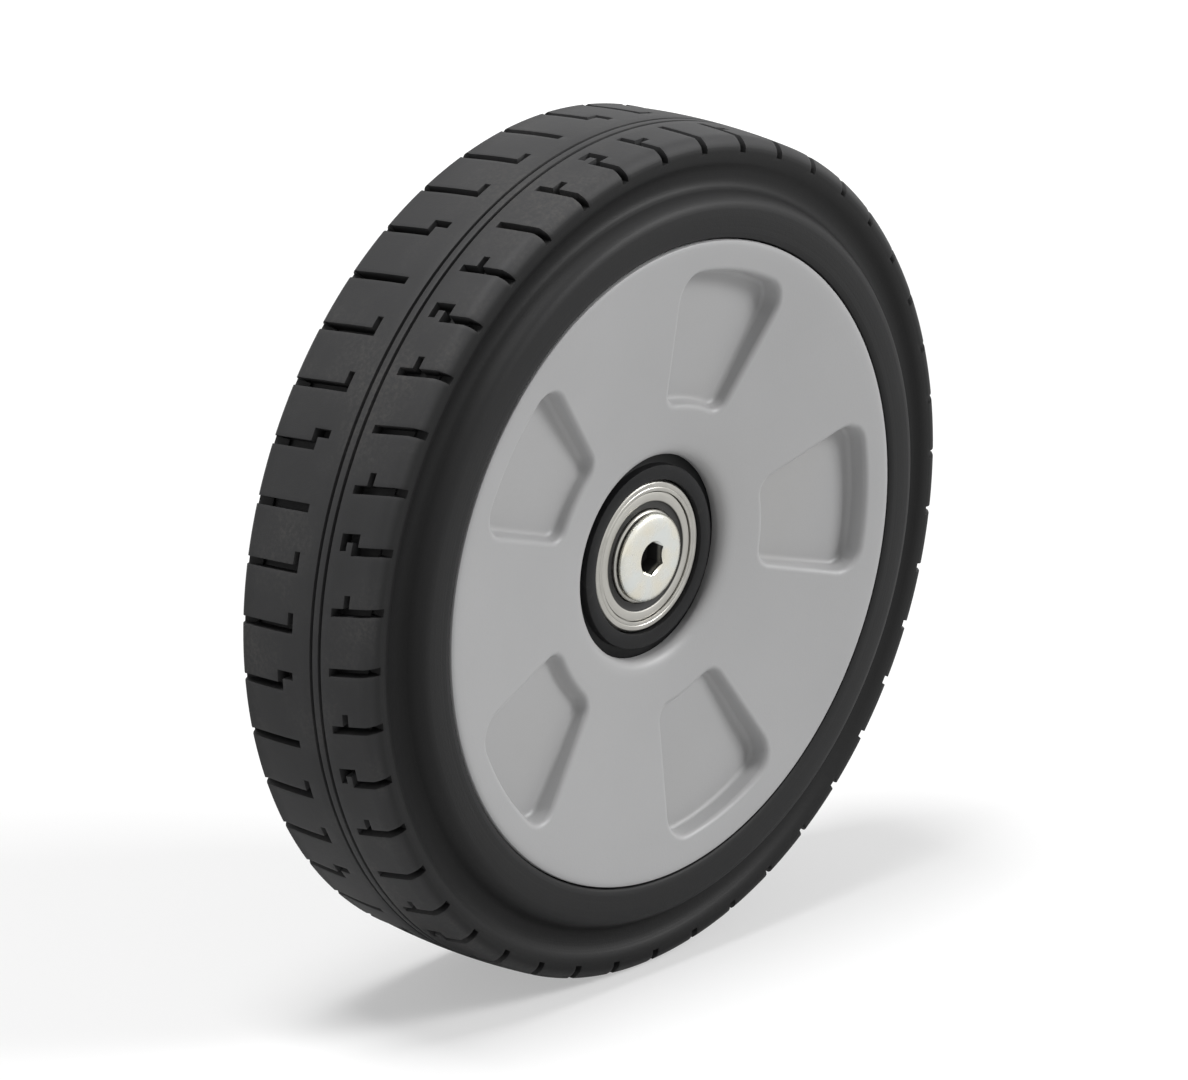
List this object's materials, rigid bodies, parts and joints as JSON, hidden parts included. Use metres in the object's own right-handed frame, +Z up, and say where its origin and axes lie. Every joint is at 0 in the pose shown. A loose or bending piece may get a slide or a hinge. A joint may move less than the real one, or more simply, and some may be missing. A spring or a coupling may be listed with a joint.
{
  "type": "lawn mower rear wheel",
  "caption": "Solid rubber wheel with block tread, black ribbed rim, grey pocketed cover, ball bearings and an axle bolt that clamps to a wheel arm.",
  "frame": {"origin": "on the axle line at the middle of the tread width", "axes": "+Y along the axle line from the outboard cover to the mower, +Z up, +X to the right as seen from outboard"},
  "size_m": [0.222, 0.0714, 0.222],
  "materials": {
    "tyre_rubber": "matt black moulded rubber, slightly dusty on the tread",
    "rim_black_plastic": "black moulded plastic with a low sheen",
    "cover_grey_plastic": "light neutral grey moulded plastic, satin with a fine grain",
    "bearing_steel": "ground bearing steel",
    "shield_steel": "pressed bright steel",
    "cage_nylon": "natural nylon",
    "zinc_plate": "bright zinc plate"
  },
  "bodies": {
    "axle": {"axle_bolt": "zinc_plate", "bearing_spacer": "bearing_steel", "inner_race_outboard": "bearing_steel", "inner_race_inboard": "bearing_steel", "axle_washer": "zinc_plate", "axle_nut": "zinc_plate"},
    "wheel": {"tyre": "tyre_rubber", "rim": "rim_black_plastic", "wheel_cover": "cover_grey_plastic", "outer_race_outboard": "bearing_steel", "outer_race_inboard": "bearing_steel", "shield_outboard_front": "shield_steel", "shield_outboard_back": "shield_steel", "shield_inboard_front": "shield_steel", "shield_inboard_back": "shield_steel"},
    "ball_set_outboard": {"cage_outboard": "cage_nylon", "ball_outboard_1": "bearing_steel", "ball_outboard_2": "bearing_steel", "ball_outboard_3": "bearing_steel", "ball_outboard_4": "bearing_steel", "ball_outboard_5": "bearing_steel", "ball_outboard_6": "bearing_steel", "ball_outboard_7": "bearing_steel", "ball_outboard_8": "bearing_steel"},
    "ball_set_inboard": {"cage_inboard": "cage_nylon", "ball_inboard_1": "bearing_steel", "ball_inboard_2": "bearing_steel", "ball_inboard_3": "bearing_steel", "ball_inboard_4": "bearing_steel", "ball_inboard_5": "bearing_steel", "ball_inboard_6": "bearing_steel", "ball_inboard_7": "bearing_steel", "ball_inboard_8": "bearing_steel"}
  },
  "joints": [
    {"name": "wheel_spin", "type": "hinge", "parent": "axle", "child": "wheel", "pos_m": [0, 0, 0], "axis": [0, 1, 0], "continuous": true},
    {"name": "ball_set_outboard_spin", "type": "hinge", "parent": "axle", "child": "ball_set_outboard", "pos_m": [0, -0.0118, 0], "axis": [0, 1, 0], "continuous": true},
    {"name": "ball_set_inboard_spin", "type": "hinge", "parent": "axle", "child": "ball_set_inboard", "pos_m": [0, 0.0177, 0], "axis": [0, 1, 0], "continuous": true}
  ],
  "couplings": [
    {"joint": "ball_set_outboard_spin", "follows": "wheel_spin", "ratio": 0.6182},
    {"joint": "ball_set_inboard_spin", "follows": "wheel_spin", "ratio": 0.6182}
  ]
}
